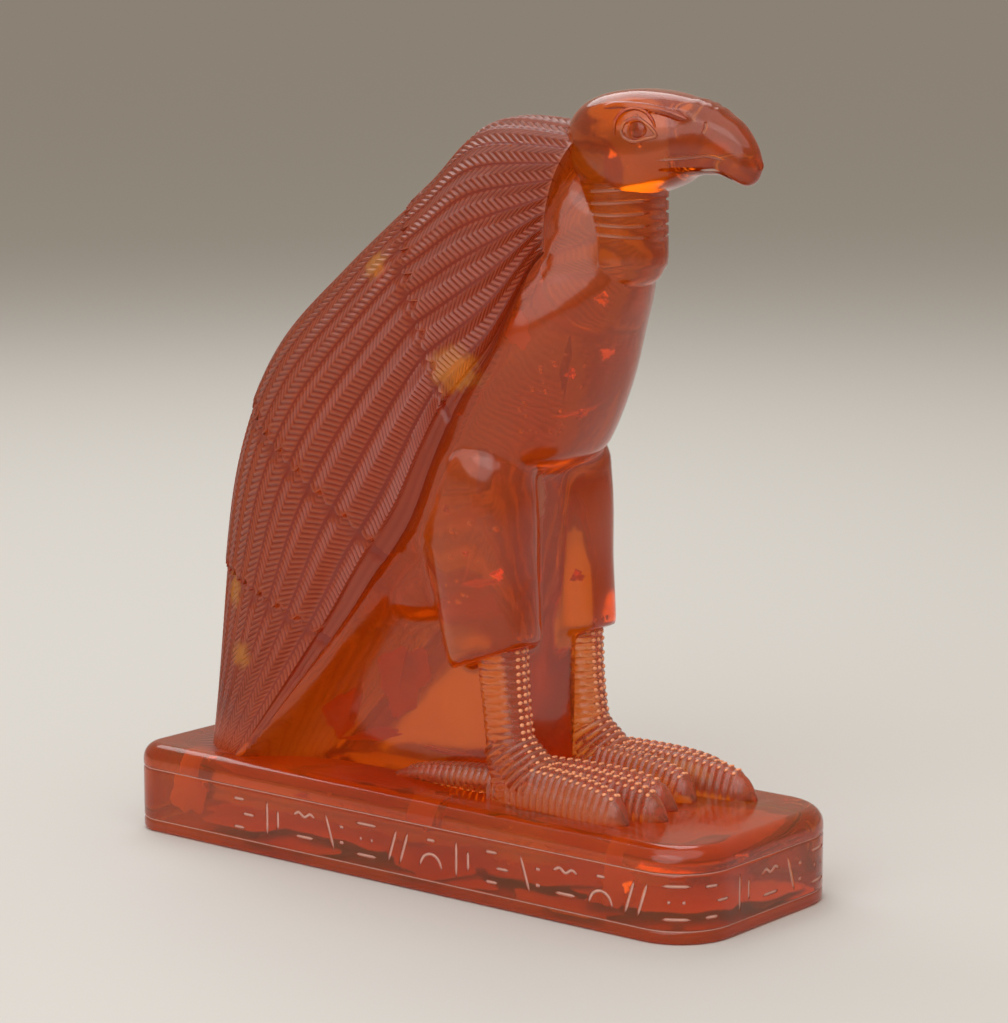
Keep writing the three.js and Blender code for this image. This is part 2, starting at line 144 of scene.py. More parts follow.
# Rows of pale caps on the scutes, as painted highlight
BEAD_ROWS = (0.7, 0.75, 0.8)
BEAD = (0.55, 0.45, 0.3)
GLINT_SIDE = np.array([0, 0.6, 0.8])

# Head, bill and neck
HEAD_TOP = [[26.3, 149.5], [27.2, 152], [29.2, 154.4], [32, 156.2], [36, 157.5], [42, 158.2], [48, 157.8],
            [54, 156.7], [58.3, 155.4], [61.3, 154], [64, 152.4], [66.3, 150], [67.8, 147.8], [68.7, 145.2]]
HEAD_UNDER = [[26.3, 146.5], [27.2, 143.5], [29.2, 140.8], [32, 138.8], [36, 137.6], [44, 138.2], [50, 140],
              [54, 141.9], [60, 142.4], [63, 141.6], [66, 140.6], [67.8, 141.6], [68.7, 143.6]]
HEAD_HALF = [[26.3, 2.4], [27.2, 5], [29.2, 7.6], [32, 9.4], [36, 10.4], [42, 10.4], [48, 8.8], [52, 7],
             [57, 5.6], [62, 4.5], [66, 3], [68.7, 1.1]]
HEAD_ROUND = [[26.3, 2.35], [36, 2.75], [50, 2.75], [58, 2.35]]
MOUTH = [[50.3, 143.3], [56, 143.5], [60.5, 143.4], [63.8, 141.8]]
MOUTH_WIDTH = 0.8
MOUTH_DEPTH = 1.1
EYE = (46.6, 150.8)
EYE_LID = [[-2.8, -0.1], [-2.1, 1.4], [0, 2.1], [2, 1.1], [3.7, -1], [1.8, -1.7], [0, -2.2], [-2, -1.6]]
EYE_FOLD = [[-4, -1], [-4.2, 1.2], [-3.2, 3.1], [-1.1, 3.9], [1.2, 3.4], [2.8, 2], [3.5, 0.5]]
EYE_LINE = 0.36
BROW = [[38.5, 154.9], [42, 155.4], [47, 155.2], [52, 154.2], [55.6, 152.9]]
BROW_HALF = 0.9
BILL_LEDGE = [[50.1, 145.2], [55, 145.6], [60, 146.1], [63.4, 145.4]]
NOSTRIL = [[59, 150.2], [59.5, 151.4], [59.2, 152.5]]
CERE_LUMPS = [55.8, 58, 60.2]
NECK_AHEAD = [[119.4, 36], [126, 36.8]]
NECK_RADIUS = 8.7
NECK_BOTTOM = 119.4
NECK_TOP = 143.0
NECK_TONGUE = [[0, 0.35], [0.8, 0.62], [2.2, 0.84], [4.5, 0.97]]
WRINKLE_TOP = 139.0
WRINKLE = 2.15
WRINKLES = 5
WRINKLE_HALF = 0.42
WRINKLE_REACH = (0.3, 1.85)

# Sealed in the stone: bright fractures (place, radius, lean and turn in degrees) and fine bubbles
SPANGLES = [((-6.6, 36.8, 118.4), 1.5, 50, -39), ((-7, 29, 104), 1.2, 56, -30), ((-12, 20, 111), 1.2, 44, -48),
            ((-3, 28, 96), 1.3, 52, -36), ((2, 28, 108), 1.6, 47, -44), ((-18.4, 13.6, 68), 0.8, 45, -35),
            ((-15.8, 18.6, 64), 1.3, 52, -42), ((-16, 8, 76), 0.9, 58, -50), ((10, 18, 60), 1.4, 50, -36),
            ((-17, 6, 13.5), 3, 50, -40), ((-18, 55, 9), 1.8, 46, -38), ((-15, -58, 9), 2.4, 54, -34),
            ((-4, -66, 8), 2.2, 48, -45), ((3, 5, 60), 2, 51, -39), ((0, -20, 40), 2.2, 46, -42),
            ((-2, 38, 146), 0.9, 50, -30), ((4, 50, 10), 2.2, 54, -36), ((8, -40, 10), 2.4, 46, -44)]
FRACTURES = [((-6, 27, 105), 5.5, 82, 38), ((-11, 20, 111), 4.5, 74, 62), ((0, 24, 97), 4.5, 20, 0),
             ((-8, 22, 100), 4, 12, 70), ((-10, 12, 84), 4.5, 86, 30), ((-8, 9, 66), 4, 80, 66),
             ((6, 14, 66), 4, 84, 40), ((-3, -14, 42), 6, 78, 60), ((0, -30, 34), 7, 84, 42),
             ((-4, 44, 150), 2.2, 70, 40)]
VEILS = [((-6, 4, 3.6), 15, 3, 0), ((2, 50, 3.4), 17, -2, 40), ((0, -46, 3.4), 18, 2, 80),
         ((-2, -20, 3.8), 15, -3, 20), ((2, 28, 3.8), 15, 3, 60), ((-14, 40, 1.7), 13, 0, 100),
         ((-13, -34, 1.7), 13, 1, 80), ((-12.5, 6, 1.7), 13, 0, 90), ((13, 56, 1.7), 11, 0, 60),
         ((12, 20, 1.7), 13, 1, 90), ((0, -24, 24), 8, 8, 30), ((0, -4, 23), 7, -8, 10),
         ((-20.5, 13, 104), 3, 60, 20), ((-13.5, -11, 120), 2, 60, 0), ((-18.5, -60, 9.5), 5.5, 80, -39),
         ((-19, 53, 9), 5, 80, -42), ((-19, 4, 14), 4.5, 10, 0), ((0, -16, 38), 8, 84, -39),
         ((0, -34, 30), 6, 80, -30), ((-14.8, 23.4, 112), 3.2, 80, -45)]
BUBBLE_CLUSTERS = [((-8, 26, 100), (9, 8, 12), 26), ((-14, 12, 66), (5, 6, 12), 14), ((0, 0, 10), (22, 60, 5), 30),
                   ((0, 42, 148), (6, 8, 6), 8)]
BUBBLE_RADII = (0.22, 0.6)

# Yellow clouds near the surface and a pale painted highlight between the thighs: centre and radii
CLOUDS = [((-24.3, 14.6, 104.5), (7, 6.5, 5)), ((-16.3, -12, 122.7), (4, 4.5, 3)),
          ((-19.1, -47.5, 39.7), (4, 4, 3)), ((-16.4, -51.3, 52.6), (4, 3, 4))]
THIGH_GAP_HIGHLIGHT = [((-3.7, 19.5, 78), (2.4, 3, 6.5))]

# Rows of shallow strokes between the frame lines, each as [along, up] pairs in a cell of its own
ROW_START = -44.0
STROKE_HALF = 0.42
STROKE_OUT = 0.08
CELL = 8.4
STROKE_FOOT = 4.0
DUST_DEEP = 0.22
DUST_THICK = 0.13
DUST_WIDE = 0.3
GROUND_INSET = 1.3
GROUND_SKIN = (0.25, 0.6)
STROKES = {
    "pair": [[[1.6, 0.6], [1.6, 8]], [[4.6, 2.4], [4.6, 6.4]]],
    "spots": [[[0.6, 7.4], [6.2, 7.4]], [[1.6, 4.3], [2.3, 4.3]], [[4.5, 4.3], [5.2, 4.3]], [[0.6, 1], [6.2, 1]]],
    "slants": [[[0.8, 0.8], [3, 7.6]], [[3.8, 0.8], [6, 7.6]]],
    "hill": [[[0.6, 1.4], [1.6, 3.4], [3.5, 4.2], [5.4, 3.4], [6.4, 1.4]], [[2.4, 7], [4.6, 7]]],
    "ripple": [[[0.4, 6.2], [2, 7], [3.5, 6.2], [5, 7], [6.4, 6.3]], [[1, 2], [6, 2]]],
    "dashes": [[[0.6, 7.2], [3.6, 7.2]], [[3.2, 4.2], [6.4, 4.2]], [[0.6, 1.2], [3.6, 1.2]]],
    "leaning": [[[0.8, 8], [3.2, 0.8]], [[4.6, 5.8], [5.8, 5.8]], [[4.6, 2.6], [5.8, 2.6]]],
}
ROW = ["dashes", "pair", "ripple", "leaning", "spots", "slants", "hill", "pair", "dashes", "leaning", "ripple",
       "hill", "slants", "spots"]


def smooth_through(pairs):
    """A smooth curve through [place, value] pairs, read at any places."""
    x, y = np.array(pairs, float).T
    last = len(x) - 1
    after = np.minimum(np.arange(last + 1) + 1, last)
    before = np.maximum(np.arange(last + 1) - 1, 0)
    slope = (y[after] - y[before]) / (x[after] - x[before])

    def read(place):
        place = np.clip(np.asarray(place, float), x[0], x[-1])
        i = np.clip(np.searchsorted(x, place, side="right") - 1, 0, last - 1)
        span = x[i + 1] - x[i]
        w = (place - x[i]) / span
        rise = y[i + 1] - y[i]
        m0, m1 = slope[i] * span, slope[i + 1] * span
        return y[i] + m0 * w + (3 * rise - 2 * m0 - m1) * w ** 2 + (m0 + m1 - 2 * rise) * w ** 3
    return read


def through_points(points):
    """A smooth path through points, read by the share of its points passed."""
    p = np.array(points, float)
    last = len(p) - 1

    def read(share):
        x = np.clip(np.asarray(share, float), 0, 1) * last
        i = np.minimum(x.astype(int), last - 1)
        w = (x - i)[..., None]
        p0, p1, p2, p3 = p[np.maximum(i - 1, 0)], p[i], p[i + 1], p[np.minimum(i + 2, last)]
        v0, v1 = (p2 - p0) / 2, (p3 - p1) / 2
        return (2 * p1 - 2 * p2 + v0 + v1) * w ** 3 + (3 * p2 - 3 * p1 - 2 * v0 - v1) * w ** 2 + v0 * w + p1
    return read


finish_marks = []
scute_rows = []


def mark(points, feathered=0.0, relief=NO_RELIEF, frost=0.0, reach=0.03):
    """Notes the finish of places on the carving: feathered, its barbs' relief as painted sheen on the ridges and
    painted shade in the grooves, and frosted by the tool or pale as a painted highlight.
    """
    places = np.asarray(points, float).reshape(-1, 3)
    values = np.empty((len(places), 4))
    for column, value in enumerate((feathered, relief, frost, reach)):
        values[:, column] = np.broadcast_to(np.asarray(value, float).reshape(-1), len(places))
    finish_marks.append((places, values))


def select_nothing():
    bpy.ops.object.select_all(action="DESELECT")


def only(piece):
    select_nothing()
    piece.select_set(True)
    bpy.context.view_layer.objects.active = piece


def newest(name):
    piece = bpy.context.object
    piece.name = name
    piece.data.name = name
    return piece


def apply_all(piece):
    only(piece)
    for modifier in list(piece.modifiers):
        bpy.ops.object.modifier_apply(modifier=modifier.name)


def coordinates(piece):
    """A piece's points in millimetres as [side, ahead, up]."""
    flat = np.empty(len(piece.data.vertices) * 3)
    piece.data.vertices.foreach_get("co", flat)
    return flat.reshape(-1, 3) * [1, -1, 1] / MM


def shape(piece, points):
    """Moves a piece's points to the places given in millimetres."""
    piece.data.vertices.foreach_set("co", (points.reshape(-1, 3) * [1, -1, 1] * MM).ravel())
    piece.data.update()


def sheet_of_points(name, points):
    """A grid primitive whose points are moved to the places given, row by row."""
    rows, columns = points.shape[:2]
    select_nothing()
    bpy.ops.mesh.primitive_grid_add(x_subdivisions=columns - 1, y_subdivisions=rows - 1, size=1)
    piece = newest(name)
    shape(piece, points)
    return piece


def tidy_faces(piece):
    """Merges doubles, closes what is open, and turns the faces outwards."""
    only(piece)
    bpy.ops.object.mode_set(mode="EDIT")
    bpy.ops.mesh.select_all(action="SELECT")
    bpy.ops.mesh.remove_doubles(threshold=0.004 * MM)
    bpy.ops.mesh.select_all(action="DESELECT")
    bpy.ops.mesh.select_non_manifold()
    bpy.ops.mesh.fill_holes(sides=0)
    bpy.ops.mesh.select_all(action="SELECT")
    bpy.ops.mesh.normals_make_consistent(inside=False)
    bpy.ops.object.mode_set(mode="OBJECT")


def rolled(name, rings):
    """A closed form: a grid is rolled into a tube of rings, seamed, and closed at both ends."""
    piece = sheet_of_points(name, np.concatenate([rings, rings[:, :1]], axis=1))
    tidy_faces(piece)
    return piece


def oval(centres, across, along, half_across, half_along, roundness, count):
    """Closed ovals round the centres, one ring for each centre."""
    turn = np.linspace(0, 2 * math.pi, count, endpoint=False)
    power = 2 / np.asarray(roundness, float)[..., None]
    c = np.sign(np.cos(turn)) * np.abs(np.cos(turn)) ** power
    s = np.sign(np.sin(turn)) * np.abs(np.sin(turn)) ** power
    across, along = np.broadcast_to(across, centres.shape), np.broadcast_to(along, centres.shape)
    half_across, half_along = np.asarray(half_across)[..., None], np.asarray(half_along)[..., None]
    return (centres[:, None] + (half_across * c)[..., None] * across[:, None]
            + (half_along * s)[..., None] * along[:, None])


SIDEWAYS, FORWARD, UPWARDS = np.eye(3)


def joined(whole, piece, operation="UNION"):
    """Joins two closed forms into one, or cuts the second out of the first."""
    joint = whole.modifiers.new("joint", "BOOLEAN")
    joint.operation = operation
    joint.solver = "MANIFOLD"
    joint.object = piece
    apply_all(whole)
    bpy.data.objects.remove(piece)
    return whole


def level_ovals(name, back, front, half, roundness, heights, count):
    back_at, front_at, half_at, round_at = (smooth_through(pairs)(heights)
                                            for pairs in (back, front, half, roundness))
    middle = (back_at + front_at) / 2
    centres = np.stack([np.zeros_like(heights), middle, heights], axis=1)
    return rolled(name, oval(centres, SIDEWAYS, FORWARD, half_at, front_at - middle, round_at, count))


wing_front = through_points(WING_FRONT)
back_ridge = through_points(BACK_RIDGE)
wing_half = smooth_through(WING_HALF)


def wing_point(s, t):
    """A place on the wings: s runs from the front edge (0) to the back's ridge (1), t from shoulder to tail."""
    share = np.sin(s * math.pi / 2)
    place = wing_front(t) * (1 - share)[..., None] + back_ridge(t) * share[..., None]
    side = wing_half(t) * np.maximum(1 - share ** WING_ROUND, 0) ** (1 / WING_ROUND)
    return np.concatenate([side[..., None], place], axis=-1)


def wing_normal(s, t):
    step = 0.01
    over_s = wing_point(np.minimum(s + step, 1), t) - wing_point(np.maximum(s - step, 0), t)
    over_t = wing_point(s, np.minimum(t + step, 1)) - wing_point(s, np.maximum(t - step, 0))
    normal = np.cross(over_s, over_t)
    normal /= np.linalg.norm(normal, axis=-1, keepdims=True)
    outwards = np.sign((normal * (wing_point(s, t) - [0, -20, 80])).sum(-1, keepdims=True))
    return normal * outwards


def wing_body():
    """The solid inside the wings, closed straight across between their front edges."""
    t, s = np.meshgrid(np.linspace(0, 1, 46), np.linspace(0.012, 1, 30), indexing="ij")
    normal = wing_normal(s, t)
    normal[:, -1, 0] = 0
    half = wing_point(s, t) - normal * 1.2
    return rolled("wing_body", np.concatenate([half * [-1, 1, 1], half[:, -2::-1]], axis=1))


def web():
    """Solid from under the wings to the legs: wide below the wing's edge, then a narrow wall."""
    edge = wing_front(np.linspace(0, 1, 61))
    rings = []
    for height in np.arange(PLINTH_HEIGHT - 0.8, 86, 2.0):
        start = np.interp(height + 0.8, edge[::-1, 1], edge[::-1, 0])
        back = start - WEB_TUCK
        ahead = back + (WEB_FRONT - back) * np.linspace(0, 1, 16) ** 1.5
        half = WEB_HALF + WEB_FLARE * np.exp(-np.maximum(ahead - start, 0) / WEB_FLARE_LENGTH)
        side = np.stack([half, ahead, np.full_like(ahead, height)], axis=1)
        rings.append(np.concatenate([side * [-1, 1, 1], side[::-1]]))
    return rolled("web", np.array(rings))


def thigh(leg):
    """Like a plain trouser leg, with its hem rising towards the front."""
    sections = np.array(THIGH, float)
    steps = np.linspace(0, len(sections) - 1, 34)
    places = np.arange(len(sections))
    up, ahead, deep, wide = (smooth_through(list(zip(places, sections[:, k])))(steps) for k in range(4))
    slope = HEM_SLOPE * np.maximum(1 - steps / HEM_RISE, 0)
    along = np.stack([np.zeros_like(slope), np.ones_like(slope), slope], axis=1)
    centres = np.stack([np.full_like(up, leg["side"]), ahead, up], axis=1)
    return rolled("thigh", oval(centres, SIDEWAYS, along, wide, deep, THIGH_ROUND, 40))


def body():
    """Breast, belly, thighs and web run into each other, as in a carving that was ground and polished."""
    heights = np.linspace(83, 148, 40)
    form = level_ovals("bird", BREAST_BACK, BREAST_FRONT, BREAST_HALF, BREAST_ROUND, heights, 64)
    pieces = [level_ovals("flank", FLANK_BACK, FLANK_FRONT, FLANK_HALF, FLANK_ROUND,
                          np.linspace(51, 88, 20), 56)]
    pieces += [wing_body(), web(), *(thigh(leg) for leg in LEGS)]
    for piece in pieces:
        joined(form, piece)
    skin = form.modifiers.new("skin", "REMESH")
    skin.mode = "VOXEL"
    skin.voxel_size = 0.95 * MM
    polish = form.modifiers.new("polish", "SMOOTH")
    polish.factor = 0.6
    polish.iterations = 5
    apply_all(form)
    return form


def feather_columns():
    """Places across a wing, from its front edge to the ridge: s, barb offset, vane and shaft at each."""
    marks = [(0, 0, 0, 0), (0.2, 0, 0.4, 0), (0.42, 0, -0.15, 0), (0.64, 0, 0.4, 0), (0.86, 0, -0.5, 0)]
    columns = [(RIM * place, offset, vane, shaft) for place, offset, vane, shaft in marks]
    across = [(0, 1, 1, 0), (0.12, 0.7, 1, 0), (0.25, 0.37, 1, 0), (0.36, 0.1, 1, 0), (0.39, 0, 0, 1),
              (0.47, 0, 0, 1), (0.5, 0.06, 1, 0), (0.66, 0.36, 1, 0), (0.83, 0.68, 1, 0)]
    width = (1 - RIM) / FEATHERS
    for feather in range(FEATHERS):
        for place, offset, vane, shaft in across:
            columns.append((RIM + width * (feather + place), offset, vane, shaft))
    columns.append((1, 1, 1, 0))
    return np.array(columns).T


def feather_tier(number, tier):
    """One tier of feathers over both wings: barbs in chevrons from sunk shafts, and rounded tips."""
    s, offset, vane, shaft = feather_columns()
    s = tier["tuck"] + (1 - tier["tuck"]) * s
    fine = np.linspace(0, 1, 400)
    middle = wing_point(np.full_like(fine, 0.45), fine)
    length = np.concatenate([[0], np.cumsum(np.linalg.norm(np.diff(middle, axis=0), axis=1))])
    start, end = np.interp([tier["start"], tier["end"]], fine, length)
    in_feather = np.where(s > RIM, (s - RIM) / (1 - RIM) * FEATHERS % 1, 0.5)
    tip = TIP_LENGTH * (1 - np.abs(2 * in_feather - 1) ** 1.7) if tier["end"] < 1 else 0
    rows = int((end - start + TIP_LENGTH) / (BARB / 2))
    row = np.arange(rows + 1)[:, None]
    run = start + row * BARB / 2 + BARB_REACH * (offset - 1)
    stop = np.broadcast_to(end + tip, run.shape) if tier["end"] < 1 else np.full_like(run, length[-1])
    run = np.clip(run, start, stop)
    t = np.interp(run, length, fine)
    fan = 1 + FAN * np.maximum(1 - t / FAN_END, 0)
    around = np.broadcast_to(s, t.shape) ** fan
    around[:, -1] = 1
    around = np.maximum(around, 1e-4)
    normal = wing_normal(around, t)
    normal[:, -1, 0] = 0
    smooth = wing_point(around, t) + normal * tier["lift"]
    fade = np.clip((1 - t) / 0.1, 0, 1)
    before_tip = np.clip(np.minimum(stop - run, run - start) / 0.9, 0, 1)
    beyond = np.ones_like(run)
    if number:
        above = TIERS[number - 1]
        s_above = np.where(s > RIM, (s - RIM) / (1 - RIM) * FEATHERS % 1, 0.5)
        edge = np.interp(above["end"], fine, length) + TIP_LENGTH * (1 - np.abs(2 * s_above - 1) ** 1.7)
        beyond = np.clip((run - edge - 0.2) / 0.9, 0, 1)
    before_tip = before_tip * beyond
    carved = np.where((row % 2 == 0) & (vane > 0.9), -BARB_DEPTH, 0) * before_tip
    relief = carved - SHAFT_DEPTH * shaft * before_tip + np.where(vane <= 0.9, vane * 0.6, 0)
    relief = relief - TIP_MOAT * (1 - beyond)
    height = relief * fade
    outer = smooth + normal * height[..., None]
    inner = smooth - normal * SHELL
    # The barbs' relief painted as light and shade: pale sheen on the ridges, painted shade in the grooves, on the
    # sunk shafts and under the tier above
    ridge = np.where(vane > 0.9, 1 + carved / BARB_DEPTH, 0.2 + 0.3 * (vane > 0)) * np.where(shaft > 0, 0, 1)
    ridge = ridge * (0.15 + 0.85 * beyond)

    def whole(half, mirror):
        return np.concatenate([half * mirror, half[:, -2::-1]], axis=1)
    piece = sheet_of_points("feathers", whole(smooth, np.array([-1, 1, 1])))
    shell = piece.modifiers.new("shell", "SOLIDIFY")
    shell.thickness = SHELL * MM
    shell.offset = -1
    apply_all(piece)
    outside = whole(outer, np.array([-1, 1, 1])).reshape(-1, 3)
    inside = whole(inner, np.array([-1, 1, 1])).reshape(-1, 3)
    shape(piece, np.concatenate([outside, inside]))
    tidy_faces(piece)
    mark(outside, feathered=1, relief=whole(ridge[..., None], 1), reach=0.4)
    return piece


def limb(name, path, wide, deep, spacing, count, relief):
    """A tapering limb along a path, carved by relief(distance, turn, share)."""
    curve = through_points(path)
    fine = np.linspace(0, 1, 200)
    trail = curve(fine)
    length = np.concatenate([[0], np.cumsum(np.linalg.norm(np.diff(trail, axis=0), axis=1))])
    run = np.linspace(0, length[-1], int(length[-1] / spacing) + 2)
    share = np.interp(run, length, fine)
    centres = curve(share)
    along = np.gradient(centres, axis=0)
    along /= np.linalg.norm(along, axis=1, keepdims=True)
    across = SIDEWAYS - along * along[:, :1]
    across /= np.linalg.norm(across, axis=1, keepdims=True)
    outward = np.cross(along, across)
    rings = oval(centres, across, outward, wide(share), deep(share), LIMB_ROUND, count)
    turn = np.linspace(0, 2 * math.pi, count, endpoint=False)
    swell = relief(run[:, None], turn[None, :], share[:, None])
    spoke = rings - centres[:, None]
    reach = np.linalg.norm(spoke, axis=-1, keepdims=True)
    places = rings + spoke / np.maximum(reach, 1e-6) * swell[..., None]
    # Paler on the scutes' raised rings and on the top and front of each toe and shank: a painted highlight for
    # their glints, with the tool's frost
    worn = np.clip((swell - swell.min()) / (np.ptp(swell) + 1e-6), 0, 1)
    upper = np.clip(0.55 + 0.6 * (places - centres[:, None]) @ GLINT_SIDE / np.maximum(reach[..., 0], 1e-6), 0, 1)
    mark(places, frost=SCUTE_FROST_AND_GLINT * worn * upper)
    kept = (share > 0.04) & (share < (CLAW if name.endswith("toe") else 0.97))
    for row in BEAD_ROWS:
        scute_rows.append((places[kept, int(count * row)], centres[kept]))
    return rolled(name, places)


def tool_line(centres, normals, half, frost=0.0, sides=8):
    """A thin spindle along a line on the surface, to cut a stroke with or to raise a fine rim."""
    tangent = np.gradient(centres, axis=0)
    across = np.cross(normals, tangent)
    across /= np.linalg.norm(across, axis=1, keepdims=True)
    share = np.linspace(0, 1, len(centres))
    taper = np.clip(0.4 + 4 * np.minimum(share, 1 - share), 0, 1)
    rings = oval(centres, normals, across, half * taper, half * taper, 2, sides)
    deepest = np.abs(np.arange(sides) - sides / 2) <= 1
    mark(rings, frost=frost * deepest * np.clip(4 * taper - 2.4, 0, 1)[:, None])
    return rolled("tool_line", rings)


def scutes(depth, end):
    """Rings of plates across a toe, that end where the smooth claw begins."""
    def relief(run, turn, share):
        wave = np.abs(np.cos(math.pi * run / SCUTE)) ** 0.7
        side_line = 0.25 * np.exp(-((np.abs(np.sin(turn)) - 0.62) / 0.16) ** 2)
        plates = depth * (wave - 0.5) * 2 + 0.12 - side_line
        return plates * np.clip((end - share) / 0.02, 0, 1) + 0 * turn
    return relief


def scales(depth):
    """Rows of small scales round a shank."""
    def relief(run, turn, share):
        row = np.floor(run / 1.5)
        wave = np.abs(np.cos(math.pi * run / 1.5))
        cells = np.abs(np.cos(turn * 5 + math.pi / 2 * (row % 2)))
        return depth * (wave * (0.4 + 0.6 * cells) - 0.35) * np.clip(share / 0.06, 0, 1)
    return relief


def foot(leg):
    side = leg["side"]

    def path(points):
        return [[side, ahead, up] for ahead, up in points]
    whole = limb("foot", path(SHANK_PATH), smooth_through(SHANK_WIDE), smooth_through(SHANK_DEEP), 0.375, 40,
                 scales(0.3))
    pieces = [
        limb("instep", path(INSTEP_PATH), smooth_through(INSTEP_WIDE), smooth_through(INSTEP_DEEP), 0.425, 32,
             scutes(0.24, 2)),
        limb("hind_toe", path(HIND_PATH), smooth_through(HIND_RADII), smooth_through(HIND_RADII), 0.425, 20,
             scutes(0.2, CLAW)),
    ]
    for tip_side, tip_ahead in leg["tips"]:
        toe = [[side + (tip_side - side) * (TOE_SPREAD + (1 - TOE_SPREAD) * share),
                TOE_ROOT + (tip_ahead - TOE_ROOT) * share, up] for share, up in TOE_UP]
        pieces.append(limb("toe", toe, smooth_through(TOE_WIDE), smooth_through(TOE_DEEP), 0.425, 28,
                           scutes(SCUTE_DEPTH, CLAW)))
    for piece in pieces:
        joined(whole, piece)
    return whole


def head_carving(points, top):
    """How far each place on the head is pushed outwards: the lore's and cheek's hollows, and the cere."""
    ahead, up = points[..., 1], points[..., 2]
    lore = -0.6 * np.exp(-((ahead - 53) / 3) ** 2 - ((up - 153) / 1.4) ** 2)
    cheek = -0.5 * np.exp(-((ahead - 44) / 9) ** 2 - ((up - 153.4) / 1.3) ** 2)
    fade = np.exp(-((up - top) / 0.8) ** 2)
    cere = sum(0.45 * np.exp(-((ahead - place) / 0.7) ** 2) for place in CERE_LUMPS) * fade
    return lore + cheek, cere


def head_form(shrink=0.0, rows=64, count=56):
    along = 0.5 - 0.5 * np.cos(np.linspace(0, math.pi, rows))
    first, last = HEAD_TOP[0][0], HEAD_TOP[-1][0]
    ahead = first + (last - first) * along
    top, under, half = (smooth_through(pairs)(ahead) for pairs in (HEAD_TOP, HEAD_UNDER, HEAD_HALF))
    centres = np.stack([np.zeros_like(ahead), ahead, (top + under) / 2], axis=1)
    wide = np.maximum(half - shrink, 0.4)
    high = np.maximum((top - under) / 2 - shrink, 0.4)
    roundness = smooth_through(HEAD_ROUND)(ahead)
    rings = oval(centres, SIDEWAYS, UPWARDS, wide, high, roundness, count)
    sideways, upwards = head_carving(rings, top[:, None])
    rings[..., 0] += np.sign(rings[..., 0]) * sideways * np.clip(np.abs(rings[..., 0]) / 2, 0, 1)
    rings[..., 2] += upwards
    return rolled("head", rings)


def head_side(ahead, up):
    top, under, half = (smooth_through(pairs)(ahead) for pairs in (HEAD_TOP, HEAD_UNDER, HEAD_HALF))
    rise = np.abs(up - (top + under) / 2) / ((top - under) / 2)
    roundness = smooth_through(HEAD_ROUND)(ahead)
    return half * np.maximum(1 - rise ** roundness, 0) ** (1 / roundness)


def mouth_cut():
    """A thin curved blade through the bill, less the bill's own core."""
    line = through_points(MOUTH)(np.linspace(0, 1, 30))
    half = (MOUTH_WIDTH / 2) * np.clip(np.minimum(np.arange(30), 29 - np.arange(30)) / 3 + 0.3, 0, 1)
    rings = [[[x, a, u + sign * h] for x, sign in ((-14, -1), (14, -1), (14, 1), (-14, 1))]
             for (a, u), h in zip(line, half)]
    return joined(rolled("mouth", np.array(rings)), head_form(MOUTH_DEPTH), "DIFFERENCE")


def on_head(points, hand, out):
    """Places on the side of the head, a little outside it, and the way outwards there."""
    ahead, up = points[:, 0], points[:, 1]
    step = 0.2
    side = head_side(ahead, up)
    normals = np.stack([np.ones_like(side), -(head_side(ahead + step, up) - side) / step,
                        -(head_side(ahead, up + step) - side) / step], axis=1)
    normals /= np.linalg.norm(normals, axis=1, keepdims=True)
    normals *= [hand, 1, 1]
    return np.stack([hand * side, ahead, up], axis=1) + normals * out, normals


def head_line(points, hand, half, out, frost=0.0):
    places = through_points(points)(np.linspace(0, 1, 4 * len(points)))
    return tool_line(*on_head(places, hand, out), half, frost)


def eye(hand):
    """A low eyeball in an almond lid with its corner to the front, and a fold of skin over it."""
    eye_place = np.array(EYE)
    lid = through_points([*EYE_LID, EYE_LID[0]])(np.linspace(0, 1, 49)) + eye_place
    centres, normals = on_head(lid[:-1], hand, 0.05)
    tangent = np.roll(centres, -1, axis=0) - np.roll(centres, 1, axis=0)
    across = np.cross(normals, tangent)
    across /= np.linalg.norm(across, axis=1, keepdims=True)
    thick = np.full(len(centres), EYE_LINE)
    rings = oval(centres, normals, across, thick, thick, 2, 8)
    mark(rings, frost=0.35)
    pieces = [rolled_ring("eye_lid", rings), head_line(np.array(EYE_FOLD) + eye_place, hand, EYE_LINE, 0.02, 0.3)]
    bpy.ops.object.select_all(action="DESELECT")
    bpy.ops.mesh.primitive_uv_sphere_add(segments=24, ring_count=14, radius=1)
    ball = newest("eyeball")
    place = [hand * (head_side(*eye_place) - 0.3), *eye_place]
    flat = np.empty(len(ball.data.vertices) * 3)
    ball.data.vertices.foreach_get("co", flat)
    shape(ball, flat.reshape(-1, 3) * [0.8, 2.2, 1.6] + place)
    tidy_faces(ball)
    return [*pieces, ball]


def rolled_ring(name, rings):
    """A closed ring: a grid is rolled both ways."""
    closed = np.concatenate([rings, rings[:1]])
    piece = sheet_of_points(name, np.concatenate([closed, closed[:, :1]], axis=1))
    tidy_faces(piece)
    return piece


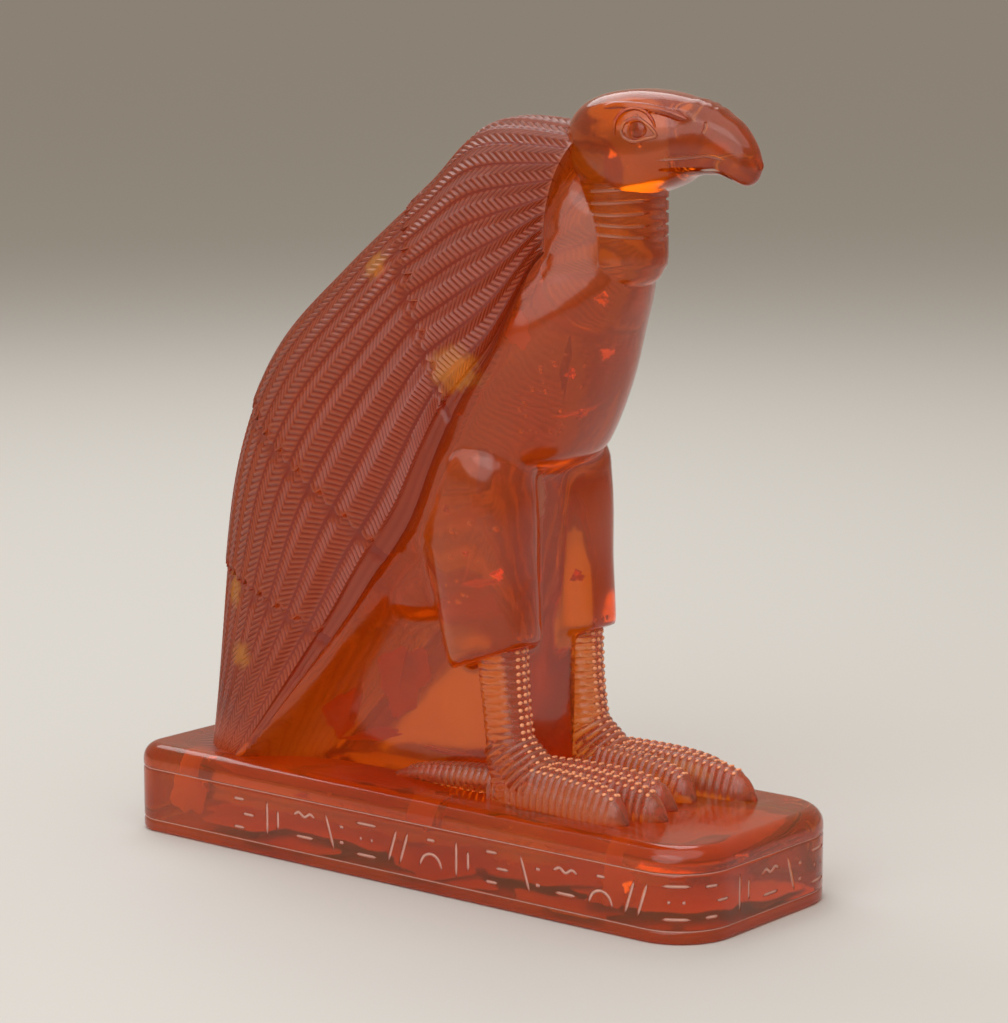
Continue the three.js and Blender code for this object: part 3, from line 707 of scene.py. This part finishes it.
def neck():
    """The bare neck hangs as a rounded tongue, with wrinkles across its front and knobs down the middle."""
    tongue = np.linspace(0, NECK_TONGUE[-1][0], 10)
    upper = np.arange(NECK_BOTTOM + NECK_TONGUE[-1][0] + 0.6, NECK_TOP, 0.45)
    heights = np.concatenate([NECK_BOTTOM + tongue, upper])
    radii = np.full(len(heights), NECK_RADIUS)
    radii[:len(tongue)] *= smooth_through(NECK_TONGUE)(tongue)
    centres = np.stack([np.zeros(len(heights)), smooth_through(NECK_AHEAD)(heights), heights], axis=1)
    rings = oval(centres, SIDEWAYS, FORWARD, radii, radii, LIMB_ROUND, 56)
    spoke = rings - centres[:, None]
    spoke /= np.linalg.norm(spoke, axis=-1, keepdims=True)
    lowest = WRINKLE_TOP - WRINKLES * WRINKLE
    knobs = np.exp(-(spoke[..., 0] / 0.17) ** 2) * np.sin(math.pi * heights / WRINKLE)[:, None] ** 2
    knobs *= (spoke[..., 1] > 0) * (heights > lowest)[:, None]
    mark(rings + spoke * 0.35 * knobs[..., None], frost=0.5 * knobs)
    whole = rolled("neck", rings + spoke * 0.35 * knobs[..., None])
    for number in range(WRINKLES):
        for hand in (1, -1):
            turn = np.linspace(*WRINKLE_REACH, 20)
            normals = np.stack([hand * np.sin(turn), np.cos(turn), np.zeros_like(turn)], axis=1)
            up = WRINKLE_TOP - number * WRINKLE + 0.3 * np.sin(2.2 * turn + number)
            line = np.column_stack([np.zeros(20), smooth_through(NECK_AHEAD)(up), up])
            line += normals * (NECK_RADIUS + WRINKLE_HALF / 4)
            joined(whole, tool_line(line, normals, WRINKLE_HALF, 0.7), "DIFFERENCE")
    return whole


def head():
    whole = joined(head_form(), mouth_cut(), "DIFFERENCE")
    joined(whole, neck())
    for hand in (1, -1):
        joined(whole, head_line(BROW, hand, BROW_HALF, -0.5))
        joined(whole, head_line(BILL_LEDGE, hand, 0.4, 0.05, 0.5), "DIFFERENCE")
        joined(whole, head_line(NOSTRIL, hand, 0.42, 0.05, 0.6), "DIFFERENCE")
        for piece in eye(hand):
            joined(whole, piece)
    return whole


def vertical_edges(piece, at_front):
    """Selects the upright corner edges at the plinth's front or back, in edit mode."""
    bpy.ops.object.mode_set(mode="OBJECT")
    for edge in piece.data.edges:
        a, b = (piece.data.vertices[i].co for i in edge.vertices)
        upright = abs(a.z - b.z) > abs(a.x - b.x) + abs(a.y - b.y)
        edge.select = upright and (a.y < 0) == at_front
    bpy.ops.object.mode_set(mode="EDIT")


def plinth():
    """A rounded slab with a worn top edge and two incised frame lines round its sides."""
    select_nothing()
    size = Vector((PLINTH_WIDTH, PLINTH_LENGTH, PLINTH_HEIGHT)) * MM
    bpy.ops.mesh.primitive_cube_add(size=1, location=(0, 0, size.z / 2))
    slab = newest("plinth")
    slab.scale = size
    bpy.ops.object.transform_apply(location=True, rotation=True, scale=True)
    bpy.ops.object.mode_set(mode="EDIT")
    bpy.ops.mesh.select_mode(type="EDGE")
    for at_front, radius in ((True, FRONT_CORNER), (False, BACK_CORNER)):
        bpy.ops.mesh.select_all(action="DESELECT")
        vertical_edges(slab, at_front)
        bpy.ops.mesh.bevel(offset=radius * MM, segments=14)
    for height, width, steps in ((PLINTH_HEIGHT, TOP_EDGE, 7), (0, FOOT_EDGE, 2)):
        bpy.ops.mesh.select_all(action="DESELECT")
        bpy.ops.object.mode_set(mode="OBJECT")
        for edge in slab.data.edges:
            edge.select = all(abs(slab.data.vertices[i].co.z / MM - height) < 0.01 for i in edge.vertices)
        bpy.ops.object.mode_set(mode="EDIT")
        bpy.ops.mesh.bevel(offset=width * MM, segments=steps)
    for line in FRAME_LINES:
        for height in (line - FRAME_LINE_HALF, line, line + FRAME_LINE_HALF):
            bpy.ops.mesh.select_all(action="SELECT")
            bpy.ops.mesh.bisect(plane_co=(0, 0, height * MM), plane_no=(0, 0, 1))
    bpy.ops.object.mode_set(mode="OBJECT")
    points = coordinates(slab)
    for line in FRAME_LINES:
        on_line = np.abs(points[:, 2] - line) < 0.01
        normals = np.array([vertex.normal for vertex in slab.data.vertices])[on_line] * [1, -1, 0]
        normals /= np.linalg.norm(normals, axis=1, keepdims=True)
        points[on_line] -= normals * FRAME_LINE_DEPTH
    shape(slab, points)
    mark(points[np.isin(np.round(points[:, 2], 3), FRAME_LINES)], frost=0.5)
    for centres, normals in stroke_rows():
        joined(slab, tool_line(centres + normals * STROKE_OUT, normals, STROKE_HALF, 1.0), "DIFFERENCE")
    return slab


def plinth_edge(inset):
    """Places and outward directions all round the plinth's side, a little inside it."""
    corners = [(1, 1, FRONT_CORNER), (-1, 1, FRONT_CORNER), (-1, -1, BACK_CORNER), (1, -1, BACK_CORNER)]
    places, ways = [], []
    for number, (side, ahead, radius) in enumerate(corners):
        turn = math.pi / 2 * (number + np.linspace(0, 1, 15))
        way = np.stack([np.cos(turn), np.sin(turn), 0 * turn], axis=1)
        middle = [side * (PLINTH_WIDTH / 2 - radius), ahead * (PLINTH_LENGTH / 2 - radius), 0]
        places.append(way * (radius - inset) + middle)
        ways.append(way)
    return np.concatenate(places), np.concatenate(ways)


def dust():
    """Pale ground amber left at the bottom of the cut strokes and of the two frame lines."""
    pieces = []
    for centres, normals in stroke_rows():
        across = np.cross(normals, np.gradient(centres, axis=0))
        across /= np.linalg.norm(across, axis=1, keepdims=True)
        share = np.linspace(0, 1, len(centres))
        taper = np.clip(0.4 + 4 * np.minimum(share, 1 - share), 0, 1)
        pieces.append(rolled("dust", oval(centres - normals * DUST_DEEP, normals, across, DUST_THICK * taper,
                                          DUST_WIDE * taper, 2, 8)))
    for line in FRAME_LINES:
        places, ways = plinth_edge(FRAME_LINE_DEPTH)
        size = np.ones(len(places))
        pieces.append(rolled_ring("dust", oval(places + UPWARDS * line, ways, UPWARDS, size * DUST_THICK,
                                               size * DUST_THICK, 2, 8)))
    return as_one(pieces, "dust_in_cuts")


def ground_underside():
    """The plinth's underside is ground and never polished: a thin matt skin that throws the light back up."""
    places, _ = plinth_edge(GROUND_INSET)
    return rolled("ground_underside", np.array([places + UPWARDS * height for height in GROUND_SKIN]))


def glint_bead_tops():
    """Pale matt caps on the scutes' tops, a painted highlight for their glints: staggered rows along each toe and
    down the front of each shank.
    """
    balls = []
    for places, middle in scute_rows:
        for number in range(4, len(places) - 1, 4):
            out = places[number] - middle[number]
            out /= np.linalg.norm(out)
            ahead = places[number + 1] - places[number - 1]
            ahead /= np.linalg.norm(ahead)
            balls.append((places[number], np.array([np.cross(ahead, out), ahead, out]) * np.c_[list(BEAD)]))
    piece, unit = row_of_balls("glint_bead_tops", len(balls), 8, 5)
    shape(piece, np.concatenate([place + unit @ axes for place, axes in balls]))
    tidy_faces(piece)
    return piece


def wall_place(distance):
    """A place on the plinth's side and its outward direction: up the right side, round the front, and back."""
    turn = np.linspace(0, math.pi / 2, 24)
    side, ahead = PLINTH_WIDTH / 2 - FRONT_CORNER, PLINTH_LENGTH / 2 - FRONT_CORNER
    right = np.stack([-np.cos(turn), np.sin(turn)], axis=1)
    left = np.stack([np.sin(turn), np.cos(turn)], axis=1)
    path = np.concatenate([[[-PLINTH_WIDTH / 2, ROW_START]], right * FRONT_CORNER + [-side, ahead],
                           left * FRONT_CORNER + [side, ahead], [[PLINTH_WIDTH / 2, ROW_START]]])
    outward = np.concatenate([[[-1, 0]], right, left, [[1, 0]]])
    passed = np.concatenate([[0], np.cumsum(np.linalg.norm(np.diff(path, axis=0), axis=1))])
    place = np.stack([np.interp(distance, passed, path[:, k]) for k in (0, 1)], axis=1)
    way = np.stack([np.interp(distance, passed, outward[:, k]) for k in (0, 1)], axis=1)
    return place, way / np.linalg.norm(way, axis=1, keepdims=True), passed[-1]


def stroke_rows():
    """Where the strokes run, in a row along both long sides and the rounded front end."""
    whole_way = wall_place(np.zeros(1))[2]
    strokes = []
    for cell in range(int(whole_way / CELL)):
        for points in STROKES[ROW[cell % len(ROW)]]:
            share = np.linspace(0, 1, 5 if len(points) == 2 else 4 * len(points))
            along, up = through_points(points)(share).T
            place, way, _ = wall_place(cell * CELL + along)
            normals = np.column_stack([way, np.zeros(len(way))])
            strokes.append((np.column_stack([place, up + STROKE_FOOT]), normals))
    return strokes


def bird():
    """The whole carving as one closed form."""
    whole = body()
    for number, tier in enumerate(TIERS):
        joined(whole, feather_tier(number, tier))
    for leg in LEGS:
        joined(whole, foot(leg))
    joined(whole, head())
    joined(whole, plinth())
    return whole


DEEP_AMBER = "d44e08"
BRIGHT_AMBER = "f68c20"
BARB_GROOVE_SHADE = "a03214"
# Painted shade for the barbs' grooves and painted sheen for their ridges
BARB_RIDGE_SHEEN = "e08050"
CLOUD_YELLOW = "ffc848"
# Pale frost of the tool's cuts, also used as painted highlight on the feet and between the thighs
PALE_FROST_AND_HIGHLIGHT = "ffd8c0"


def as_one(pieces, name):
    """Several small forms as one piece."""
    select_nothing()
    for piece in pieces:
        piece.select_set(True)
    bpy.context.view_layer.objects.active = pieces[0]
    bpy.ops.object.join()
    return newest(name)


def row_of_balls(name, count, segments, rings):
    """Many round balls of radius one as one piece, and the points of the first, to put each in its place."""
    select_nothing()
    bpy.ops.mesh.primitive_uv_sphere_add(segments=segments, ring_count=rings, radius=1)
    piece = newest(name)
    flat = np.empty(len(piece.data.vertices) * 3)
    piece.data.vertices.foreach_get("co", flat)
    piece.modifiers.new("row", "ARRAY").count = count
    apply_all(piece)
    return piece, flat.reshape(-1, 3)


def flakes(name, places, thickness, edge):
    """Thin wavy discs that lean every way, as fractures in the stone do."""
    piece, points = row_of_balls(name, len(places), 36, 12)
    round_it = np.arctan2(points[:, 1], points[:, 0])
    whole = []
    for number, (place, radius, lean, turn) in enumerate(places):
        reach = 1 + edge * (np.sin(3 * round_it + number) + 0.6 * np.sin(7 * round_it + 2 * number))
        x, y = points[:, 0] * reach * radius, points[:, 1] * reach * radius * 0.8
        z = points[:, 2] * thickness + 0.045 * radius * np.sin(2.2 * x / radius + number) * np.cos(2.6 * y / radius)
        lean, turn = math.radians(lean), math.radians(turn)
        x, z = x * math.cos(lean) - z * math.sin(lean), x * math.sin(lean) + z * math.cos(lean)
        x, y = x * math.cos(turn) - y * math.sin(turn), x * math.sin(turn) + y * math.cos(turn)
        whole.append(np.stack([x, y, z], axis=1) + place)
    shape(piece, np.concatenate(whole))
    tidy_faces(piece)
    return piece


def bubbles():
    balls = []
    for centre, radii, count in BUBBLE_CLUSTERS:
        for _ in range(count):
            place = [c + r * random.uniform(-1, 1) * 0.7 for c, r in zip(centre, radii)]
            balls.append((np.array(place), random.uniform(*BUBBLE_RADII)))
    piece, unit = row_of_balls("bubbles", len(balls), 8, 6)
    shape(piece, np.concatenate([place + unit * radius for place, radius in balls]))
    tidy_faces(piece)
    return piece


def linear(code):
    """An sRGB hex colour as linear values."""
    values = [int(code[i:i + 2], 16) / 255 for i in (0, 2, 4)]
    return (*(v / 12.92 if v <= 0.04045 else ((v + 0.055) / 1.055) ** 2.4 for v in values), 1)


def add_node(tree, kind, settings=None, links=None, **values):
    node = tree.nodes.new(kind)
    for name, value in (settings or {}).items():
        setattr(node, name, value)
    for name, value in values.items():
        node.inputs[name.replace("_", " ")].default_value = value
    for name, source in (links or {}).items():
        tree.links.new(source, node.inputs[name])
    return node


def mixed(tree, factor, low, high):
    """A colour between two others, each a hex code or another node's colour."""
    node = add_node(tree, "ShaderNodeMix", {"data_type": "RGBA"}, {"Factor": factor})
    for slot, colour in ((6, low), (7, high)):
        if isinstance(colour, str):
            node.inputs[slot].default_value = linear(colour)
        else:
            tree.links.new(colour, node.inputs[slot])
    return node.outputs[2]


def mottled(name, dark, light, patch, **settings):
    """A finish that varies between two colours, in patches of about the width given in millimetres."""
    material = bpy.data.materials.new(name)
    material.use_nodes = True
    tree = material.node_tree
    where = add_node(tree, "ShaderNodeTexCoord").outputs["Object"]
    noise = add_node(tree, "ShaderNodeTexNoise", None, {"Vector": where}, Scale=1 / (patch * MM), Detail=3)
    surface = tree.nodes["Principled BSDF"]
    tree.links.new(mixed(tree, noise.outputs["Fac"], dark, light), surface.inputs["Base Color"])
    bump = add_node(tree, "ShaderNodeBump", None, {"Height": noise.outputs["Fac"]}, Strength=0.3,
                    Distance=0.05 * MM)
    tree.links.new(bump.outputs["Normal"], surface.inputs["Normal"])
    for socket, value in settings.items():
        surface.inputs[socket.replace("_", " ")].default_value = value
    return material


def amber():
    """Clear amber, ground and polished by hand: see-through, deep orange, frosted where the tool cut it, with
    painted sheen and shade on the feathers' barbs and painted highlights on the feet and between the thighs.
    """
    material = bpy.data.materials.new("polished_amber")
    material.use_nodes = True
    tree = material.node_tree
    tree.nodes.clear()
    painted = {name: add_node(tree, "ShaderNodeAttribute", {"attribute_name": name}).outputs["Fac"]
               for name in ("feathered", "relief", "frosted", "cloudy")}
    where = add_node(tree, "ShaderNodeTexCoord").outputs["Object"]
    streaks = add_node(tree, "ShaderNodeTexNoise", None, {"Vector": where}, Scale=1 / (22 * MM), Detail=1,
                       Distortion=0)
    stone = mixed(tree, streaks.outputs["Fac"], DEEP_AMBER, BRIGHT_AMBER)
    # Painted shade and sheen across the feathers' barbs
    feather = mixed(tree, painted["relief"], BARB_GROOVE_SHADE, BARB_RIDGE_SHEEN)
    colour = mixed(tree, painted["feathered"], stone, feather)
    colour = mixed(tree, painted["cloudy"], colour, CLOUD_YELLOW)
    # Pale where the tool frosted the stone, and painted highlight on the feet's scutes and between the thighs
    colour = mixed(tree, painted["frosted"], colour, PALE_FROST_AND_HIGHLIGHT)
    rough = add_node(tree, "ShaderNodeMapRange", None, {"Value": painted["feathered"]}, To_Min=0.14, To_Max=0.4)
    rougher = add_node(tree, "ShaderNodeMath", {"operation": "MULTIPLY_ADD"}, {0: painted["frosted"],
                       2: rough.outputs["Result"]})
    rougher.inputs[1].default_value = 0.3
    grain = add_node(tree, "ShaderNodeTexNoise", None, {"Vector": where}, Scale=1 / (4 * MM), Detail=1)
    uneven = add_node(tree, "ShaderNodeBump", None, {"Height": grain.outputs["Fac"]}, Strength=0.25,
                      Distance=0.3 * MM)
    surface = add_node(tree, "ShaderNodeBsdfPrincipled", None,
                       {"Base Color": colour, "Roughness": rougher.outputs["Value"],
                        "Normal": uneven.outputs["Normal"]},
                       IOR=1.54, Transmission_Weight=0.87, Specular_IOR_Level=0.25)
    depth = add_node(tree, "ShaderNodeVolumeAbsorption", None, None, Color=(0.96, 0.73, 0, 1), Density=65)
    add_node(tree, "ShaderNodeOutputMaterial", None,
             {"Surface": surface.outputs["BSDF"], "Volume": depth.outputs["Volume"]})
    return material


def paint_finish(piece):
    """Writes the finish noted for each place, the yellow clouds in the stone and a painted highlight between the
    thighs, on the carving's points.
    """
    places = np.concatenate([points for points, _ in finish_marks])
    values = np.concatenate([values for _, values in finish_marks])
    tree = kdtree.KDTree(len(places))
    for index, place in enumerate(places):
        tree.insert(place, index)
    tree.balance()
    points = coordinates(piece)
    layers = np.tile([0, NO_RELIEF, 0], (len(points), 1))
    for number, place in enumerate(points):
        _, index, distance = tree.find(place)
        if distance < values[index, 3]:
            layers[number] = values[index, :3]
    wobble = 0.22 * np.sin(points @ [1.1, 0.7, 1.9]) * np.sin(points @ [-0.8, 1.6, 0.5])
    cloudy = np.zeros(len(points))
    for centre, radii in CLOUDS:
        distance = np.linalg.norm((points - centre) / radii, axis=1)
        cloudy = np.maximum(cloudy, np.clip(2.2 * (1 - distance + wobble), 0, 1))
    # A pale painted highlight between the thighs, written into the frosted layer
    for centre, radii in THIGH_GAP_HIGHLIGHT:
        distance = np.linalg.norm((points - centre) / radii, axis=1)
        layers[:, 2] = np.maximum(layers[:, 2], np.clip(2 * (1 - distance + wobble), 0, 1))
    for name, column in (("feathered", layers[:, 0]), ("relief", layers[:, 1]), ("frosted", layers[:, 2]),
                         ("cloudy", cloudy)):
        layer = piece.data.attributes.new(name, "FLOAT", "POINT")
        layer.data.foreach_set("value", column)


def camera_and_light():
    camera = bpy.data.objects.new("camera", bpy.data.cameras.new("camera"))
    bpy.context.scene.collection.objects.link(camera)
    camera.data.lens = 116.13
    camera.location = Vector((-508.97, -416.86, 180.44)) * MM
    view = Vector((0.769, 0.6183, -0.1621))
    camera.rotation_euler = view.to_track_quat("-Z", "Y").to_euler()
    bpy.context.scene.camera = camera
    lamps = [
        ("overhead", (-0.3, -0.25, 0.9), 1.3, 5),
        ("back", (0.3, 0.45, 0.8), 0.8, 4),
        ("front", (-0.75, -0.2, 0.5), 0.9, 3),
    ]
    for name, place, size, power in lamps:
        lamp = bpy.data.lights.new(name, "AREA")
        lamp.shape = "DISK"
        lamp.size = size
        lamp.energy = power
        holder = bpy.data.objects.new(name, lamp)
        bpy.context.scene.collection.objects.link(holder)
        holder.location = place
        holder.rotation_euler = (Vector((0, 0, 0.08)) - holder.location).to_track_quat("-Z", "Y").to_euler()


def surroundings():
    world = bpy.data.worlds.new("soft_room")
    world.use_nodes = True
    world.node_tree.nodes["Background"].inputs["Color"].default_value = linear("eee0ce")
    world.node_tree.nodes["Background"].inputs["Strength"].default_value = 0.5
    bpy.context.scene.world = world
    bpy.context.scene.view_settings.view_transform = "Standard"
    select_nothing()
    bpy.ops.mesh.primitive_plane_add(size=80)
    floor = newest("floor")
    material = bpy.data.materials.new("pale_floor")
    material.use_nodes = True
    tree = material.node_tree
    tree.nodes.clear()
    paper = add_node(tree, "ShaderNodeBsdfDiffuse", Color=linear("cccbc8"))
    add_node(tree, "ShaderNodeOutputMaterial", None, {"Surface": paper.outputs["BSDF"]})
    floor.data.materials.append(material)


camera_and_light()
surroundings()
statue = bird()
paint_finish(statue)
only(statue)
bpy.ops.object.shade_smooth_by_angle(angle=math.radians(50))
even = statue.modifiers.new("even_walls", "WEIGHTED_NORMAL")
even.keep_sharp = True
apply_all(statue)
statue.data.materials.clear()
statue.data.materials.append(amber())
statue.name = "amber_vulture"
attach(statue, "root")
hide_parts("vulture_statue")

added = [
    # Ground with grit and left unpolished: even, matt orange
    (ground_underside(), mottled("ground_amber", "b85414", "e67824", 6, Roughness=0.8)),
    # Amber powder rubbed into the cuts: pale and dull
    (dust(), mottled("amber_powder", "b88678", "e2ae9e", 1.5, Roughness=0.8)),
    # Pale matt skin on the scute tops: a painted highlight, paler than the stone, that light enters a little way
    (glint_bead_tops(), mottled("painted_glint_amber", "e08858", "ffb488", 2, Roughness=0.3)),
    # Round fractures that mirror like gold leaf, and longer ones that are dimmer
    (flakes("sun_spangles", SPANGLES, 0.12, 0.25), mottled("fracture_glint", "f4bc58", "ffe088", 1,
                                                           Metallic=1, Roughness=0.12)),
    (flakes("fracture_planes", FRACTURES, 0.05, 0.2), mottled("gas_filled_fracture", "e0a468", "ffdcac", 2,
                                                              Metallic=1, Roughness=0.2)),
    # Milky layers full of tiny bubbles: yellow near the wall, red behind deep stone
    (flakes("cloudy_veils", VEILS, 0.4, 0.16), mottled("cloudy_amber", "f08820", "ffae44", 5, Roughness=0.7)),
    # Gas sealed in the resin: clear, with a bright rim
    (bubbles(), mottled("gas_bubble", "fff0d8", "ffffff", 1, IOR=1.9, Transmission_Weight=1, Roughness=0.02)),
]
for piece, material in added:
    only(piece)
    bpy.ops.object.shade_smooth()
    piece.data.materials.clear()
    piece.data.materials.append(material)
    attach(piece, "root")
